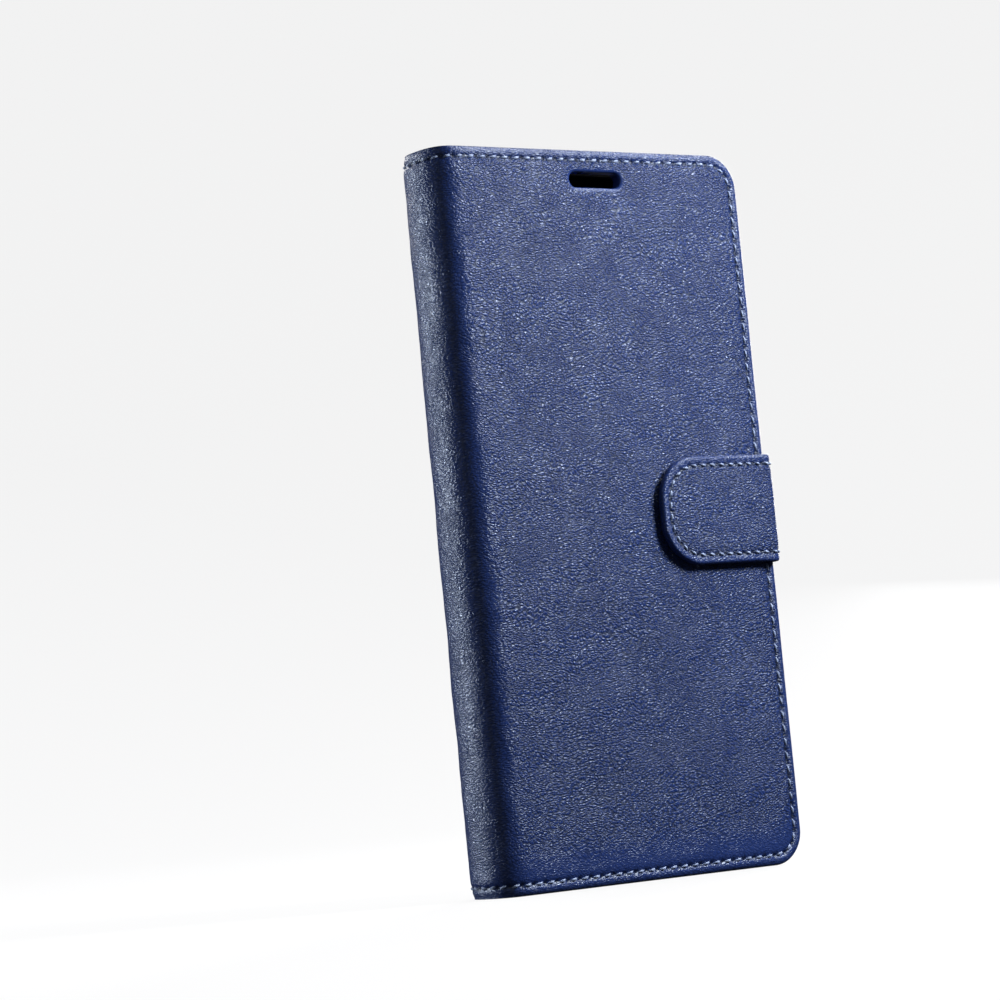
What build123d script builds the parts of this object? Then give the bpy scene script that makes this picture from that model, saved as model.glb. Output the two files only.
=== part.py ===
from build123d import *
import os
from math import cos, radians, sin

# Folio case for a small phone: a soft shell bonded to a stitched leather cover that closes
# round the front like a book and is held shut by a magnetic strap.
# Frame: the closed case stands on its short edge, +Z up. The front cover faces -Y, the
# spine is at -X and the fore-edge at +X. The origin is the centre of the underside.

# ---------------------------------------------------------------- driving dimensions, mm
CASE_W = 75.0            # spine to fore-edge, closed
CASE_T = 16.0            # front face to back face, closed
CASE_H = 145.0
PANEL_R = 7.0            # fore-edge corners of the two cover panels
PANEL_EDGE_R = 1.2       # turned edge of the leather, on the outside
SPINE_R = 5.0            # outer rounding of the spine
SPINE_LINING_MARGIN = 0.4
STRAP_PROUD_X = 1.7      # the strap stands this far past the fore-edge
STRAP_PROUD_Y = 2.1      # and this far in front of the cover

PHONE_W = 67.3
PHONE_T = 7.3
PHONE_H = 138.4
PHONE_R = 9.6
PHONE_PLAY = 0.1         # between the phone and the shell, each side

LEATHER_T = 0.8
LINING_T = 0.5
BACK_BOARD_T = 1.0
FRONT_BOARD_T = 1.1
BOND_T = 0.5
BOND_MARGIN = 0.2        # the bonding sheet stops this far inside the shell
CARD_POCKET_T = 0.3
CASH_POCKET_T = 0.5

SHELL_WALL = 1.35
SHELL_FLOOR = 1.0
SHELL_LIP_T = 0.7
SHELL_LIP_W = 1.2        # how far the lip reaches over the screen's edge
SHELL_FORE_GAP = 1.5     # the shell sits this far inside the fore-edge
SHELL_EDGE_R = 1.8

STITCH_INSET = 2.1       # seam line from a panel's edge
SEAM_W = 0.5
SEAM_D = 0.3

STRAP_H = 21.8
STRAP_Z = 72.0
STRAP_T = 1.0
STRAP_LEATHER_T = 0.6
TONGUE_REACH = 29.4      # the tongue's tip from the fore-edge, over the front cover
TONGUE_TIP_R = 9.0
TONGUE_GAP = 0.15        # air between the shut tongue and the cover

# ---------------------------------------------------------------- planes worked out from them
SPINE_X = -(CASE_W + STRAP_PROUD_X) / 2
FORE_X = SPINE_X + CASE_W
STRAP_X = FORE_X + STRAP_PROUD_X
BACK_Y = (CASE_T + STRAP_PROUD_Y) / 2
FRONT_Y = BACK_Y - CASE_T
STRAP_Y = FRONT_Y - STRAP_PROUD_Y

HINGE_X = SPINE_X + SPINE_R       # the two fold lines, on the outer faces
HINGE_GAP = 0.15                  # panel and spine each stop this far from the fold line
BOARD_HINGE_GAP = 1.2             # the boards stop short of the fold line
RIM_T = LEATHER_T                 # turned edge of the leather, round boards and lining

BACK_BOARD_Y = BACK_Y - LEATHER_T
BACK_LINING_Y = BACK_BOARD_Y - BACK_BOARD_T
BOND_Y = BACK_LINING_Y - LINING_T
SHELL_BACK_Y = BOND_Y - BOND_T
BAY_BACK_Y = SHELL_BACK_Y - SHELL_FLOOR
BAY_T = PHONE_T + PHONE_PLAY
BAY_FRONT_Y = BAY_BACK_Y - BAY_T
SHELL_FRONT_Y = BAY_FRONT_Y - SHELL_LIP_T
SHELL_T = SHELL_BACK_Y - SHELL_FRONT_Y

FRONT_BOARD_Y = FRONT_Y + LEATHER_T + FRONT_BOARD_T     # inner face of the front board
FRONT_LINING_Y = FRONT_BOARD_Y + LINING_T
CASH_Y = FRONT_LINING_Y + CASH_POCKET_T

BAY_W = PHONE_W + 2 * PHONE_PLAY
BAY_H = PHONE_H + 2 * PHONE_PLAY
SHELL_W = BAY_W + 2 * SHELL_WALL
SHELL_H = BAY_H + 2 * SHELL_WALL
SHELL_FORE_X = FORE_X - SHELL_FORE_GAP
SHELL_SPINE_X = SHELL_FORE_X - SHELL_W
SHELL_X = (SHELL_FORE_X + SHELL_SPINE_X) / 2
SHELL_MID_Y = (SHELL_BACK_Y + SHELL_FRONT_Y) / 2
MID_Z = CASE_H / 2
SHELL_BOTTOM_Z = MID_Z - SHELL_H / 2

# camera window, through the back panel and the shell
WINDOW_W = 24.7
WINDOW_H = 13.8
WINDOW_X = FORE_X - 5.3 - WINDOW_W / 2
WINDOW_Z = CASE_H - 6.8 - WINDOW_H / 2
SHELL_WINDOW_MARGIN = 0.8

# earpiece slot, through the front cover
SLOT_W = 12.8
SLOT_H = 3.2
SLOT_X = SHELL_X
SLOT_Z = CASE_H - 6.0

# fold line across the back panel that lets it prop the phone up
STAND_X = FORE_X - 36.9
STAND_GAP = 3.0
STAND_GROOVE_W = 2.4
STAND_GROOVE_D = 0.25

# strap: two bends, each of the strap's outer face
TAB_Y = BACK_LINING_Y                     # outer face of the strap's sewn-in end
TAB_X = FORE_X - 10.0
BACK_BEND_R = 3.0
FRONT_BEND_R = 4.1
BACK_BEND = (STRAP_X - BACK_BEND_R, TAB_Y - BACK_BEND_R)
FRONT_BEND = (STRAP_X - FRONT_BEND_R, STRAP_Y + FRONT_BEND_R)
STRAP_LOW_Z = STRAP_Z - STRAP_H / 2
TONGUE_TIP_X = FORE_X - TONGUE_REACH
TONGUE_IN_Y = FRONT_Y - TONGUE_GAP
TONGUE_LEATHER_T = 0.6
TONGUE_LINING_T = 0.5
TONGUE_CORE_T = TONGUE_IN_Y - STRAP_Y - TONGUE_LEATHER_T - TONGUE_LINING_T
TONGUE_CORE_END_X = FRONT_BEND[0] - 4.0   # the stiffener stops short of the bend

STRAP_SEAM_INSET = 1.9
STRAP_SEAM_D = 0.25
STRAP_SEAMS_Z = (STRAP_LOW_Z + STRAP_SEAM_INSET, STRAP_LOW_Z + STRAP_H - STRAP_SEAM_INSET)

MAGNET_W = 8.0
MAGNET_H = 6.0
MAGNET_PLAY = 0.05
MAGNET_STEP = 8.0                         # centre to centre, up the tongue
MAGNET_X = TONGUE_TIP_X + 9.0
PLATE_W = 14.0
PLATE_H = 18.0
PLATE_T = 0.5
PLATE_R = 2.0


# ---------------------------------------------------------------- shared profiles
def face_plane(y):
    """Plane square to Y at height y; what is extruded from it goes towards the front."""
    return Plane.XZ.offset(-y)


def panel_outline(y, inset=0.0, hinge_inset=HINGE_GAP):
    """One cover panel seen from the front: square at the fold line, round at the fore-edge."""
    left = HINGE_X + hinge_inset
    right = FORE_X - inset
    with BuildSketch(face_plane(y)) as outline:
        with Locations(((left + right) / 2, MID_Z)):
            Rectangle(right - left, CASE_H - 2 * inset)
        fillet(outline.vertices().group_by(Axis.X)[-1], PANEL_R - inset)
    return outline.sketch


def slot_outline(y, x, z, width, height):
    """A stadium, as the camera window and the earpiece slot are cut."""
    with BuildSketch(face_plane(y)) as outline:
        with Locations((x, z)):
            SlotOverall(width, height)
    return outline.sketch


def window_outline(y, margin=0.0):
    return slot_outline(y, WINDOW_X, WINDOW_Z, WINDOW_W + 2 * margin, WINDOW_H + 2 * margin)


def earpiece_outline(y):
    return slot_outline(y, SLOT_X, SLOT_Z, SLOT_W, SLOT_H)


def box_outline(y, x_low, x_high, z_low, z_high):
    with BuildSketch(face_plane(y)) as outline:
        with Locations(((x_low + x_high) / 2, (z_low + z_high) / 2)):
            Rectangle(x_high - x_low, z_high - z_low)
    return outline.sketch


def panel_seam(y):
    """The seam line of one panel: along the top, the fore-edge and the bottom."""
    outer = panel_outline(y, STITCH_INSET - SEAM_W / 2, HINGE_GAP)
    inner = panel_outline(y, STITCH_INSET + SEAM_W / 2, HINGE_GAP - 1)
    return outer - inner


def strap_point(bend, radius, angle):
    """A point on a bend of the strap; angle 0 points along +X."""
    return (bend[0] + radius * cos(radians(angle)), bend[1] + radius * sin(radians(angle)))


def strap_side_outline(outer_inset, inner_inset, low_z=STRAP_LOW_Z):
    """Plan of the strap between its two fold lines, from one depth in the strap to another."""
    back_out = BACK_BEND_R - outer_inset
    back_in = BACK_BEND_R - inner_inset
    front_out = FRONT_BEND_R - outer_inset
    front_in = FRONT_BEND_R - inner_inset
    with BuildSketch(Plane.XY.offset(low_z)) as outline:
        with BuildLine():
            CenterArc(BACK_BEND, back_out, 0, 45)
            Line(strap_point(BACK_BEND, back_out, 45), strap_point(BACK_BEND, back_in, 45))
            CenterArc(BACK_BEND, back_in, 0, 45)
            Line(strap_point(BACK_BEND, back_in, 0), strap_point(FRONT_BEND, front_in, 0))
            CenterArc(FRONT_BEND, front_in, -45, 45)
            Line(strap_point(FRONT_BEND, front_in, -45), strap_point(FRONT_BEND, front_out, -45))
            CenterArc(FRONT_BEND, front_out, -45, 45)
            Line(strap_point(FRONT_BEND, front_out, 0), strap_point(BACK_BEND, back_out, 0))
        make_face()
    return outline.sketch


def tongue_plan(y, inset=0.0, end_x=FRONT_BEND[0]):
    """The flat of the tongue seen from the front, with its rounded tip."""
    left = TONGUE_TIP_X + inset
    with BuildSketch(face_plane(y)) as outline:
        with Locations(((left + end_x) / 2, STRAP_Z)):
            Rectangle(end_x - left, STRAP_H - 2 * inset)
        fillet(outline.vertices().group_by(Axis.X)[0], TONGUE_TIP_R - inset)
    return outline.sketch


def front_bend_outline(outer_radius, inner_radius, low_z):
    """The half of the front bend that moves with the tongue."""
    with BuildSketch(Plane.XY.offset(low_z)) as outline:
        with BuildLine():
            CenterArc(FRONT_BEND, outer_radius, -90, 45)
            Line(
                strap_point(FRONT_BEND, outer_radius, -45),
                strap_point(FRONT_BEND, inner_radius, -45),
            )
            CenterArc(FRONT_BEND, inner_radius, -90, 45)
            Line(
                strap_point(FRONT_BEND, inner_radius, -90),
                strap_point(FRONT_BEND, outer_radius, -90),
            )
        make_face()
    return outline.sketch


def save(part, name):
    """Label a finished piece and write its STEP file."""
    part.label = name
    export_step(part, f"parts/{name}.step")


os.makedirs("parts", exist_ok=True)

# ---------------------------------------------------------------- soft phone shell
POWER_Z = 93.0
POWER_LEN = 18.0
VOLUME_UP_Z = 107.0
VOLUME_DOWN_Z = 93.0
VOLUME_LEN = 11.0
BUTTON_W = 4.4
BUTTON_PLAY = 0.2
BUTTON_PROUD = 0.5
BUTTON_EDGE_R = 0.35
MUTE_Z = 120.0
MUTE_LEN = 7.0
MUTE_W = 4.2
LANYARD_Z = 23.1
LANYARD_DISH_LEN = 8.8
LANYARD_DISH_W = 4.0
LANYARD_DISH_D = 0.4
LANYARD_STEP = 4.7
LANYARD_HOLE_R = 1.0
PORT_LEN = 13.0
PORT_W = 5.4
SOUND_LEN = 13.0
SOUND_W = 2.4
SOUND_STEP = 34.0        # centre to centre, one each side of the port


def wall_slot(x, z, length, width):
    """A stadium on a side wall, long way up."""
    with BuildSketch(Plane.YZ.offset(x)) as outline:
        with Locations((SHELL_MID_Y, z)):
            SlotOverall(length, width, rotation=90)
    return outline.sketch


with BuildPart() as tpu_shell:
    with BuildSketch(face_plane(SHELL_BACK_Y)):
        with Locations((SHELL_X, MID_Z)):
            RectangleRounded(SHELL_W, SHELL_H, PHONE_R + SHELL_WALL)
    extrude(amount=SHELL_T)
    fillet(tpu_shell.faces().filter_by(Axis.Y).edges(), SHELL_EDGE_R)
    # the bay the phone snaps into, and the narrower mouth inside the lip
    with BuildSketch(face_plane(BAY_BACK_Y)):
        with Locations((SHELL_X, MID_Z)):
            RectangleRounded(BAY_W, BAY_H, PHONE_R)
    extrude(amount=BAY_T, mode=Mode.SUBTRACT)
    with BuildSketch(face_plane(BAY_FRONT_Y)):
        with Locations((SHELL_X, MID_Z)):
            RectangleRounded(BAY_W - 2 * SHELL_LIP_W, BAY_H - 2 * SHELL_LIP_W, PHONE_R - SHELL_LIP_W)
    extrude(amount=SHELL_LIP_T, mode=Mode.SUBTRACT)
    # camera window
    extrude(window_outline(SHELL_BACK_Y, SHELL_WINDOW_MARGIN), amount=SHELL_FLOOR, mode=Mode.SUBTRACT)
    # button windows: power on the fore-edge side, volume on the spine side
    extrude(
        wall_slot(SHELL_FORE_X - SHELL_WALL, POWER_Z, POWER_LEN + 2 * BUTTON_PLAY, BUTTON_W + 2 * BUTTON_PLAY),
        amount=SHELL_WALL,
        mode=Mode.SUBTRACT,
    )
    for volume_z in (VOLUME_UP_Z, VOLUME_DOWN_Z):
        extrude(
            wall_slot(SHELL_SPINE_X, volume_z, VOLUME_LEN + 2 * BUTTON_PLAY, BUTTON_W + 2 * BUTTON_PLAY),
            amount=SHELL_WALL,
            mode=Mode.SUBTRACT,
        )
    extrude(wall_slot(SHELL_SPINE_X, MUTE_Z, MUTE_LEN, MUTE_W), amount=SHELL_WALL, mode=Mode.SUBTRACT)
    # lanyard anchor: a shallow oval dish with two holes and a bar between them
    extrude(
        wall_slot(SHELL_FORE_X - LANYARD_DISH_D, LANYARD_Z, LANYARD_DISH_LEN, LANYARD_DISH_W),
        amount=LANYARD_DISH_D,
        mode=Mode.SUBTRACT,
    )
    with BuildSketch(Plane.YZ.offset(SHELL_FORE_X - SHELL_WALL)):
        with Locations((SHELL_MID_Y, LANYARD_Z)):
            with GridLocations(0, LANYARD_STEP, 1, 2):
                Circle(LANYARD_HOLE_R)
    extrude(amount=SHELL_WALL, mode=Mode.SUBTRACT)
    # bottom wall: charging port between two sound slots
    with BuildSketch(Plane.XY.offset(SHELL_BOTTOM_Z)):
        with Locations((SHELL_X, SHELL_MID_Y)):
            SlotOverall(PORT_LEN, PORT_W)
            with GridLocations(SOUND_STEP, 0, 2, 1):
                SlotOverall(SOUND_LEN, SOUND_W)
    extrude(amount=SHELL_WALL, mode=Mode.SUBTRACT)
save(tpu_shell.part, "tpu_shell")


def button(outer_x, inner_x, z, length):
    """A key pad that fills its window in the side wall and stands a little proud of it."""
    with BuildPart() as pad:
        extrude(wall_slot(inner_x, z, length, BUTTON_W), amount=outer_x - inner_x)
        outer_face = pad.faces().sort_by(Axis.X)[-1 if outer_x > inner_x else 0]
        fillet(outer_face.edges(), BUTTON_EDGE_R)
    return pad.part


save(button(SHELL_FORE_X + BUTTON_PROUD, SHELL_FORE_X - SHELL_WALL, POWER_Z, POWER_LEN), "power_button")
volume_out_x = SHELL_SPINE_X - BUTTON_PROUD
volume_in_x = SHELL_SPINE_X + SHELL_WALL
save(button(volume_out_x, volume_in_x, VOLUME_UP_Z, VOLUME_LEN), "volume_up_button")
save(button(volume_out_x, volume_in_x, VOLUME_DOWN_Z, VOLUME_LEN), "volume_down_button")

# ---------------------------------------------------------------- back panel
STRAP_NOTCH_PLAY = 0.1


def strap_notch(y, depth, x_low):
    """Room for the strap's sewn-in end."""
    low = STRAP_LOW_Z - STRAP_NOTCH_PLAY
    high = STRAP_LOW_Z + STRAP_H + STRAP_NOTCH_PLAY
    extrude(box_outline(y, x_low, FORE_X + 1, low, high), amount=depth, mode=Mode.SUBTRACT)


with BuildPart() as back_leather:
    extrude(panel_outline(BACK_Y), amount=BACK_Y - BOND_Y)
    outer_edges = back_leather.faces().sort_by(Axis.Y)[-1].edges()
    fillet(outer_edges.filter_by(lambda edge: edge.center().X > HINGE_X + 1), PANEL_EDGE_R)
    extrude(panel_outline(BACK_BOARD_Y, RIM_T, HINGE_GAP - 1), amount=BACK_BOARD_Y - BOND_Y, mode=Mode.SUBTRACT)
    extrude(window_outline(BACK_Y), amount=LEATHER_T, mode=Mode.SUBTRACT)
    # the pressed fold line, between the seams
    with BuildSketch(face_plane(BACK_Y)):
        with Locations((STAND_X, MID_Z)):
            Rectangle(STAND_GROOVE_W, CASE_H - 4 * STITCH_INSET)
    extrude(amount=STAND_GROOVE_D, mode=Mode.SUBTRACT)
    extrude(panel_seam(BACK_Y), amount=SEAM_D, mode=Mode.SUBTRACT)
    strap_notch(BACK_LINING_Y, LINING_T, FORE_X - 2 * RIM_T)
save(back_leather.part, "back_leather")

with BuildPart() as back_board_fore:
    extrude(panel_outline(BACK_BOARD_Y, RIM_T, STAND_X + STAND_GAP / 2 - HINGE_X), amount=BACK_BOARD_T)
    extrude(window_outline(BACK_BOARD_Y), amount=BACK_BOARD_T, mode=Mode.SUBTRACT)
save(back_board_fore.part, "back_board_fore")

with BuildPart() as back_board_spine:
    extrude(
        box_outline(
            BACK_BOARD_Y,
            HINGE_X + BOARD_HINGE_GAP,
            STAND_X - STAND_GAP / 2,
            RIM_T,
            CASE_H - RIM_T,
        ),
        amount=BACK_BOARD_T,
    )
save(back_board_spine.part, "back_board_spine")

with BuildPart() as back_lining:
    extrude(panel_outline(BACK_LINING_Y, RIM_T), amount=LINING_T)
    extrude(window_outline(BACK_LINING_Y), amount=LINING_T, mode=Mode.SUBTRACT)
    strap_notch(BACK_LINING_Y, LINING_T, TAB_X - STRAP_NOTCH_PLAY)
save(back_lining.part, "back_lining")

# the shell is bonded only on the camera side of the fold line
with BuildPart() as shell_bond_sheet:
    with BuildSketch(face_plane(BOND_Y)) as bond_outline:
        bond_low_x = STAND_X + STAND_GAP / 2
        bond_high_x = SHELL_FORE_X - BOND_MARGIN
        with Locations(((bond_low_x + bond_high_x) / 2, MID_Z)):
            Rectangle(bond_high_x - bond_low_x, SHELL_H - 2 * BOND_MARGIN)
        fillet(bond_outline.vertices().group_by(Axis.X)[-1], PHONE_R + SHELL_WALL)
    extrude(amount=BOND_T)
    extrude(window_outline(BOND_Y, SHELL_WINDOW_MARGIN), amount=BOND_T, mode=Mode.SUBTRACT)
    strap_notch(BOND_Y, BOND_T, TAB_X - STRAP_NOTCH_PLAY)
save(shell_bond_sheet.part, "shell_bond_sheet")

with BuildPart() as back_stitching:
    extrude(panel_seam(BACK_Y), amount=SEAM_D)
save(back_stitching.part, "back_stitching")

# ---------------------------------------------------------------- strap's fixed end
with BuildPart() as strap_anchor:
    with BuildSketch(Plane.XY.offset(STRAP_LOW_Z)):
        with BuildLine():
            CenterArc(BACK_BEND, BACK_BEND_R, 45, 45)
            Line((BACK_BEND[0], TAB_Y), (TAB_X, TAB_Y))
            Line((TAB_X, TAB_Y), (TAB_X, TAB_Y - STRAP_T))
            Line((TAB_X, TAB_Y - STRAP_T), (BACK_BEND[0], TAB_Y - STRAP_T))
            CenterArc(BACK_BEND, BACK_BEND_R - STRAP_T, 45, 45)
            Line(
                strap_point(BACK_BEND, BACK_BEND_R - STRAP_T, 45),
                strap_point(BACK_BEND, BACK_BEND_R, 45),
            )
        make_face()
    extrude(amount=STRAP_H)
save(strap_anchor.part, "strap_anchor")

# ---------------------------------------------------------------- spine


def spine_outline(outer_inset, inner_inset, low_z):
    """Plan of the spine, a rounded channel, from one depth in it to another."""
    end_x = HINGE_X - HINGE_GAP
    corner_r = end_x - SPINE_X
    outer_r = corner_r - outer_inset
    inner_r = corner_r - inner_inset
    back_y = BACK_Y - corner_r
    front_y = FRONT_Y + corner_r
    with BuildSketch(Plane.XY.offset(low_z)) as outline:
        with BuildLine():
            CenterArc((end_x, back_y), outer_r, 90, 90)
            Line((end_x - outer_r, back_y), (end_x - outer_r, front_y))
            CenterArc((end_x, front_y), outer_r, 180, 90)
            Line((end_x, front_y - outer_r), (end_x, front_y - inner_r))
            CenterArc((end_x, front_y), inner_r, 180, 90)
            Line((end_x - inner_r, front_y), (end_x - inner_r, back_y))
            CenterArc((end_x, back_y), inner_r, 90, 90)
            Line((end_x, back_y + inner_r), (end_x, back_y + outer_r))
        make_face()
    return outline.sketch


with BuildPart() as spine_leather:
    extrude(spine_outline(0, LEATHER_T, 0), amount=CASE_H)
    for seam_z in (STITCH_INSET, CASE_H - STITCH_INSET):
        extrude(spine_outline(0, SEAM_D, seam_z - SEAM_W / 2), amount=SEAM_W, mode=Mode.SUBTRACT)
save(spine_leather.part, "spine_leather")

with BuildPart() as spine_lining:
    extrude(
        spine_outline(LEATHER_T, LEATHER_T + LINING_T, SPINE_LINING_MARGIN),
        amount=CASE_H - 2 * SPINE_LINING_MARGIN,
    )
save(spine_lining.part, "spine_lining")

with BuildPart() as spine_stitching:
    for seam_z in (STITCH_INSET, CASE_H - STITCH_INSET):
        extrude(spine_outline(0, SEAM_D, seam_z - SEAM_W / 2), amount=SEAM_W)
save(spine_stitching.part, "spine_stitching")

# ---------------------------------------------------------------- front cover
with BuildPart() as front_leather:
    extrude(panel_outline(FRONT_LINING_Y), amount=FRONT_LINING_Y - FRONT_Y)
    outer_edges = front_leather.faces().sort_by(Axis.Y)[0].edges()
    fillet(outer_edges.filter_by(lambda edge: edge.center().X > HINGE_X + 1), PANEL_EDGE_R)
    extrude(
        panel_outline(FRONT_LINING_Y, RIM_T, HINGE_GAP - 1),
        amount=FRONT_LINING_Y - FRONT_Y - LEATHER_T,
        mode=Mode.SUBTRACT,
    )
    extrude(earpiece_outline(FRONT_LINING_Y), amount=FRONT_LINING_Y - FRONT_Y, mode=Mode.SUBTRACT)
    extrude(panel_seam(FRONT_Y + SEAM_D), amount=SEAM_D, mode=Mode.SUBTRACT)
save(front_leather.part, "front_leather")

PLATE_X = MAGNET_X
PLATE_Y = FRONT_Y + LEATHER_T + PLATE_T


def catch_plate_outline():
    with BuildSketch(face_plane(PLATE_Y)) as outline:
        with Locations((PLATE_X, STRAP_Z)):
            RectangleRounded(PLATE_W, PLATE_H, PLATE_R)
    return outline.sketch


with BuildPart() as front_board:
    extrude(panel_outline(FRONT_BOARD_Y, RIM_T, BOARD_HINGE_GAP), amount=FRONT_BOARD_T)
    extrude(earpiece_outline(FRONT_BOARD_Y), amount=FRONT_BOARD_T, mode=Mode.SUBTRACT)
    extrude(catch_plate_outline(), amount=PLATE_T, mode=Mode.SUBTRACT)
save(front_board.part, "front_board")

with BuildPart() as catch_plate:
    extrude(catch_plate_outline(), amount=PLATE_T)
save(catch_plate.part, "catch_plate")

with BuildPart() as front_lining:
    extrude(panel_outline(FRONT_LINING_Y, RIM_T), amount=LINING_T)
    extrude(earpiece_outline(FRONT_LINING_Y), amount=LINING_T, mode=Mode.SUBTRACT)
save(front_lining.part, "front_lining")

with BuildPart() as front_stitching:
    extrude(panel_seam(FRONT_Y + SEAM_D), amount=SEAM_D)
save(front_stitching.part, "front_stitching")

# ---------------------------------------------------------------- pockets inside the cover
POCKET_LOW_Z = 4.0
POCKET_R = 3.0
POCKET_SEAM_INSET = 1.0
POCKET_SEAM_D = 0.15
POCKET_FORE_X = FORE_X - 4.0
CASH_LOW_X = HINGE_X + 5.0
CASH_TOP_Z = CASE_H - 12.0
CARD_LOW_X = HINGE_X + 8.5
CARD_TOPS = {"card_pocket_upper": 108.0, "card_pocket_middle": 95.0, "card_pocket_lower": 82.0}


def pocket_outline(y, low_x, top_z, inset=0.0):
    """A pocket front, sewn down along its bottom and both sides."""
    width = POCKET_FORE_X - low_x - 2 * inset
    height = top_z - POCKET_LOW_Z - 2 * inset
    with BuildSketch(face_plane(y)) as outline:
        with Locations(((low_x + POCKET_FORE_X) / 2, (POCKET_LOW_Z + top_z) / 2)):
            RectangleRounded(width, height, POCKET_R - inset)
    return outline.sketch


def pocket_seam(y, low_x, top_z):
    """The seam of the top pocket front, open at the mouth."""
    ring = pocket_outline(y, low_x, top_z, POCKET_SEAM_INSET) - pocket_outline(
        y, low_x, top_z, POCKET_SEAM_INSET + SEAM_W
    )
    return ring - box_outline(y, low_x, POCKET_FORE_X, top_z - POCKET_R, top_z)


with BuildPart() as cash_pocket:
    extrude(pocket_outline(CASH_Y, CASH_LOW_X, CASH_TOP_Z), amount=CASH_POCKET_T)
save(cash_pocket.part, "cash_pocket")

for layer, (pocket_name, pocket_top_z) in enumerate(CARD_TOPS.items(), start=1):
    pocket_y = CASH_Y + layer * CARD_POCKET_T
    with BuildPart() as card_pocket:
        extrude(pocket_outline(pocket_y, CARD_LOW_X, pocket_top_z), amount=CARD_POCKET_T)
        if layer == len(CARD_TOPS):
            extrude(pocket_seam(pocket_y, CARD_LOW_X, pocket_top_z), amount=POCKET_SEAM_D, mode=Mode.SUBTRACT)
    save(card_pocket.part, pocket_name)

with BuildPart() as pocket_stitching:
    extrude(pocket_seam(pocket_y, CARD_LOW_X, pocket_top_z), amount=POCKET_SEAM_D)
save(pocket_stitching.part, "pocket_stitching")

# ---------------------------------------------------------------- strap, between its two folds
with BuildPart() as strap_side_leather:
    extrude(strap_side_outline(0, STRAP_LEATHER_T), amount=STRAP_H)
    for seam_z in STRAP_SEAMS_Z:
        extrude(strap_side_outline(0, STRAP_SEAM_D, seam_z - SEAM_W / 2), amount=SEAM_W, mode=Mode.SUBTRACT)
save(strap_side_leather.part, "strap_side_leather")

with BuildPart() as strap_side_stitching:
    for seam_z in STRAP_SEAMS_Z:
        extrude(strap_side_outline(0, STRAP_SEAM_D, seam_z - SEAM_W / 2), amount=SEAM_W)
save(strap_side_stitching.part, "strap_side_stitching")

with BuildPart() as strap_side_lining:
    extrude(strap_side_outline(STRAP_LEATHER_T, STRAP_T), amount=STRAP_H)
save(strap_side_lining.part, "strap_side_lining")

# ---------------------------------------------------------------- strap's tongue
def tongue_seam():
    """The seam round the tongue's flat, open towards the fold."""
    y = STRAP_Y + STRAP_SEAM_D
    outer = tongue_plan(y, STRAP_SEAM_INSET - SEAM_W / 2)
    inner = tongue_plan(y, STRAP_SEAM_INSET + SEAM_W / 2, FRONT_BEND[0] + 1)
    return outer - inner


def bend_seam(seam_z):
    return front_bend_outline(FRONT_BEND_R, FRONT_BEND_R - STRAP_SEAM_D, seam_z - SEAM_W / 2)


with BuildPart() as tongue_leather:
    extrude(tongue_plan(TONGUE_IN_Y), amount=TONGUE_IN_Y - STRAP_Y)
    extrude(
        tongue_plan(TONGUE_IN_Y, TONGUE_LEATHER_T, FRONT_BEND[0] + 1),
        amount=TONGUE_IN_Y - STRAP_Y - TONGUE_LEATHER_T,
        mode=Mode.SUBTRACT,
    )
    extrude(
        front_bend_outline(FRONT_BEND_R, FRONT_BEND_R - STRAP_LEATHER_T, STRAP_LOW_Z),
        amount=STRAP_H,
    )
    extrude(tongue_seam(), amount=STRAP_SEAM_D, mode=Mode.SUBTRACT)
    for seam_z in STRAP_SEAMS_Z:
        extrude(bend_seam(seam_z), amount=SEAM_W, mode=Mode.SUBTRACT)
save(tongue_leather.part, "tongue_leather")

with BuildPart() as tongue_stitching:
    extrude(tongue_seam(), amount=STRAP_SEAM_D)
    for seam_z in STRAP_SEAMS_Z:
        extrude(bend_seam(seam_z), amount=SEAM_W)
save(tongue_stitching.part, "tongue_stitching")

MAGNET_SITES = [(MAGNET_X, STRAP_Z - MAGNET_STEP / 2), (MAGNET_X, STRAP_Z + MAGNET_STEP / 2)]


def magnet_outlines(margin=0.0):
    with BuildSketch(face_plane(TONGUE_IN_Y - TONGUE_LINING_T)) as outline:
        with Locations(*MAGNET_SITES):
            Rectangle(MAGNET_W + 2 * margin, MAGNET_H + 2 * margin)
    return outline.sketch


with BuildPart() as tongue_stiffener:
    extrude(
        tongue_plan(TONGUE_IN_Y - TONGUE_LINING_T, TONGUE_LEATHER_T, TONGUE_CORE_END_X),
        amount=TONGUE_CORE_T,
    )
    extrude(magnet_outlines(MAGNET_PLAY), amount=TONGUE_CORE_T, mode=Mode.SUBTRACT)
save(tongue_stiffener.part, "tongue_stiffener")

with BuildPart() as clasp_magnets:
    extrude(magnet_outlines(), amount=TONGUE_CORE_T)
save(clasp_magnets.part, "clasp_magnets")

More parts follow.
